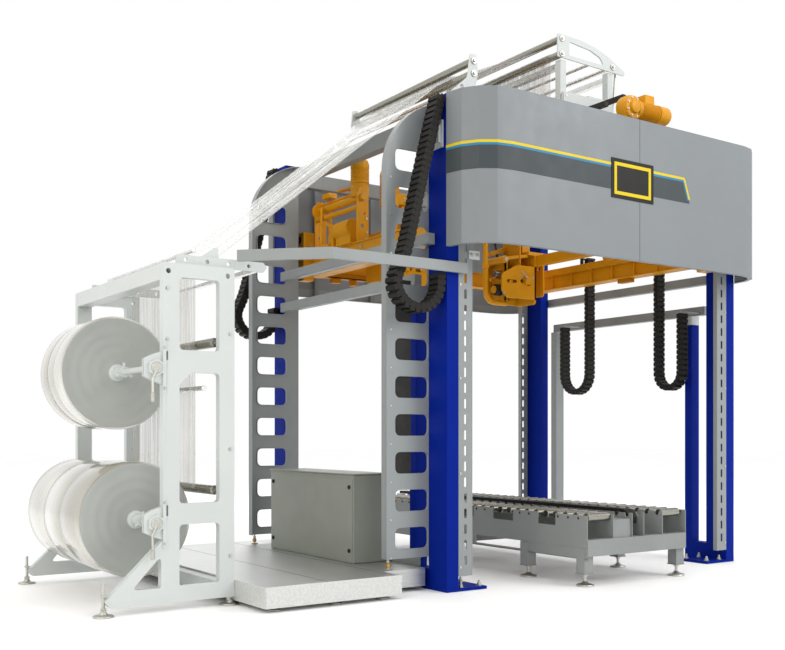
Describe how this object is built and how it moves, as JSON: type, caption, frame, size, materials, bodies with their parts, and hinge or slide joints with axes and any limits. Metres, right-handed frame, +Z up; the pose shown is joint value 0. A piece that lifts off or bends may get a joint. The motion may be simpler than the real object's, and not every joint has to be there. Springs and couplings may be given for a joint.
{
  "type": "stretch hood pallet wrapper",
  "caption": "Free-standing pallet stretch hooder: column frame, lift with corner stretching units, film reel rack at the side and a roller conveyor through it.",
  "frame": {"origin": "centre of the machine's footprint, on the floor", "axes": "+Z up, +X to the right along the front, +Y to the rear; the reel rack is at -X and pallets travel along Y"},
  "size_m": [5.234, 3.075, 4.15],
  "materials": {
    "blue_enamel": "gloss enamel",
    "grey_enamel": "satin enamel",
    "plate_steel": "satin",
    "white_enamel": "satin enamel",
    "film": "stretch film, glossy",
    "roller_steel": "turned",
    "black_chain": "moulded links",
    "conveyor_enamel": "satin enamel",
    "orange_enamel": "semi-gloss enamel"
  },
  "bodies": {
    "frame": {"base_skirt": "grey_enamel", "bent_bar": "grey_enamel", "column_front_left": "blue_enamel", "column_front_right": "blue_enamel", "column_rear_left": "blue_enamel", "column_rear_right": "blue_enamel", "control_cabinet": "plate_steel", "conveyor_chain": "black_chain", "conveyor_frame": "conveyor_enamel", "energy_chain_left_front": "black_chain", "energy_chain_left_rear": "black_chain", "energy_chain_right_front": "black_chain", "energy_chain_right_rear": "black_chain", "film_bridge": "film", "film_incline": "film", "film_riser": "film", "front_cover": "grey_enamel", "guide_strip_front_left": "grey_enamel", "guide_strip_front_right": "grey_enamel", "guide_strip_rear_left": "grey_enamel", "guide_strip_rear_right": "grey_enamel", "head_plate_front": "white_enamel", "head_plate_rear": "white_enamel", "head_stand": "white_enamel", "infeed_arm_front": "white_enamel", "infeed_arm_rear": "white_enamel", "ladder_panel_front": "grey_enamel", "ladder_panel_rear": "grey_enamel", "lift_gearmotor": "orange_enamel", "platform": "plate_steel", "rack_crossbar_base": "white_enamel", "rack_crossbar_top": "white_enamel", "rack_side_front": "white_enamel", "rack_side_rear": "white_enamel", "rail_left_lower": "grey_enamel", "rail_left_upper": "grey_enamel", "rail_right_lower": "grey_enamel", "rail_right_upper": "grey_enamel", "rear_cover": "grey_enamel", "top_frame": "grey_enamel"},
    "conveyor_roller_1_body": {"conveyor_roller_1": "roller_steel"},
    "conveyor_roller_2_body": {"conveyor_roller_2": "roller_steel"},
    "conveyor_roller_3_body": {"conveyor_roller_3": "roller_steel"},
    "conveyor_roller_4_body": {"conveyor_roller_4": "roller_steel"},
    "conveyor_roller_5_body": {"conveyor_roller_5": "roller_steel"},
    "reel_lower": {"film_reel_lower": "film"},
    "reel_upper": {"film_reel_upper": "film"},
    "head_roller_lower_body": {"head_roller_lower": "roller_steel"},
    "head_roller_upper_body": {"head_roller_upper": "roller_steel"},
    "infeed_roller_lower_body": {"infeed_roller_lower": "roller_steel"},
    "infeed_roller_upper_body": {"infeed_roller_upper": "roller_steel"},
    "lift": {"lift_frame": "orange_enamel"},
    "rack_idler_lower_body": {"rack_idler_lower": "roller_steel"},
    "rack_idler_upper_body": {"rack_idler_upper": "roller_steel"},
    "spread_left": {"spread_beam_left": "orange_enamel"},
    "spread_right": {"spread_beam_right": "orange_enamel"},
    "unit_front_left": {"stretch_unit_front_left": "orange_enamel"},
    "unit_front_right": {"stretch_unit_front_right": "orange_enamel"},
    "unit_rear_left": {"stretch_unit_rear_left": "orange_enamel"},
    "unit_rear_right": {"stretch_unit_rear_right": "orange_enamel"}
  },
  "joints": [
    {"name": "lift_slide", "type": "slide", "parent": "frame", "child": "lift", "axis": [0, 0, 1], "range_m": [-1.6, 0], "deforming": ["energy_chain_right_front", "energy_chain_right_rear"]},
    {"name": "spread_right_slide", "type": "slide", "parent": "lift", "child": "spread_right", "axis": [1, 0, 0], "range_m": [-0.2, 0.15]},
    {"name": "spread_left_slide", "type": "slide", "parent": "lift", "child": "spread_left", "axis": [-1, 0, 0], "range_m": [-0.2, 0.15]},
    {"name": "unit_rear_right_slide", "type": "slide", "parent": "spread_right", "child": "unit_rear_right", "axis": [0, 1, 0], "range_m": [-0.3, 0.25]},
    {"name": "unit_rear_left_slide", "type": "slide", "parent": "spread_left", "child": "unit_rear_left", "axis": [0, 1, 0], "range_m": [-0.3, 0.25]},
    {"name": "unit_front_right_slide", "type": "slide", "parent": "spread_right", "child": "unit_front_right", "axis": [0, -1, 0], "range_m": [-0.3, 0.25]},
    {"name": "unit_front_left_slide", "type": "slide", "parent": "spread_left", "child": "unit_front_left", "axis": [0, -1, 0], "range_m": [-0.3, 0.25]},
    {"name": "reel_upper_spin", "type": "hinge", "parent": "frame", "child": "reel_upper", "pos_m": [-2.252, 0.0145, 1.43], "axis": [0, 1, 0], "continuous": true},
    {"name": "reel_lower_spin", "type": "hinge", "parent": "frame", "child": "reel_lower", "pos_m": [-2.252, 0.0145, 0.52], "axis": [0, 1, 0], "continuous": true},
    {"name": "rack_idler_upper_spin", "type": "hinge", "parent": "frame", "child": "rack_idler_upper_body", "pos_m": [-1.852, 0.0145, 1.6], "axis": [0, 1, 0], "continuous": true},
    {"name": "rack_idler_lower_spin", "type": "hinge", "parent": "frame", "child": "rack_idler_lower_body", "pos_m": [-1.852, 0.0145, 0.7], "axis": [0, 1, 0], "continuous": true},
    {"name": "infeed_roller_upper_spin", "type": "hinge", "parent": "frame", "child": "infeed_roller_upper_body", "pos_m": [0.148, 0.0145, 3.722], "axis": [0, 1, 0], "continuous": true},
    {"name": "infeed_roller_lower_spin", "type": "hinge", "parent": "frame", "child": "infeed_roller_lower_body", "pos_m": [0.148, 0.0145, 3.632], "axis": [0, 1, 0], "continuous": true},
    {"name": "head_roller_upper_spin", "type": "hinge", "parent": "frame", "child": "head_roller_upper_body", "pos_m": [1.092, 0.0145, 4.116], "axis": [0, 1, 0], "continuous": true},
    {"name": "head_roller_lower_spin", "type": "hinge", "parent": "frame", "child": "head_roller_lower_body", "pos_m": [1.092, 0.0145, 3.996], "axis": [0, 1, 0], "continuous": true},
    {"name": "conveyor_roller_1_spin", "type": "hinge", "parent": "frame", "child": "conveyor_roller_1_body", "pos_m": [1.072, -1.2855, 0.47], "axis": [1, 0, 0], "continuous": true},
    {"name": "conveyor_roller_2_spin", "type": "hinge", "parent": "frame", "child": "conveyor_roller_2_body", "pos_m": [1.072, -0.6855, 0.47], "axis": [1, 0, 0], "continuous": true},
    {"name": "conveyor_roller_3_spin", "type": "hinge", "parent": "frame", "child": "conveyor_roller_3_body", "pos_m": [1.072, -0.0855, 0.47], "axis": [1, 0, 0], "continuous": true},
    {"name": "conveyor_roller_4_spin", "type": "hinge", "parent": "frame", "child": "conveyor_roller_4_body", "pos_m": [1.072, 0.5145, 0.47], "axis": [1, 0, 0], "continuous": true},
    {"name": "conveyor_roller_5_spin", "type": "hinge", "parent": "frame", "child": "conveyor_roller_5_body", "pos_m": [1.072, 1.1145, 0.47], "axis": [1, 0, 0], "continuous": true}
  ],
  "couplings": [
    {"joint": "spread_left_slide", "follows": "spread_right_slide", "ratio": 1},
    {"joint": "unit_rear_left_slide", "follows": "unit_rear_right_slide", "ratio": 1},
    {"joint": "unit_front_right_slide", "follows": "unit_rear_right_slide", "ratio": 1},
    {"joint": "unit_front_left_slide", "follows": "unit_rear_right_slide", "ratio": 1},
    {"joint": "infeed_roller_lower_spin", "follows": "infeed_roller_upper_spin", "ratio": -1},
    {"joint": "conveyor_roller_2_spin", "follows": "conveyor_roller_1_spin", "ratio": 1},
    {"joint": "conveyor_roller_3_spin", "follows": "conveyor_roller_1_spin", "ratio": 1},
    {"joint": "conveyor_roller_4_spin", "follows": "conveyor_roller_1_spin", "ratio": 1},
    {"joint": "conveyor_roller_5_spin", "follows": "conveyor_roller_1_spin", "ratio": 1}
  ]
}
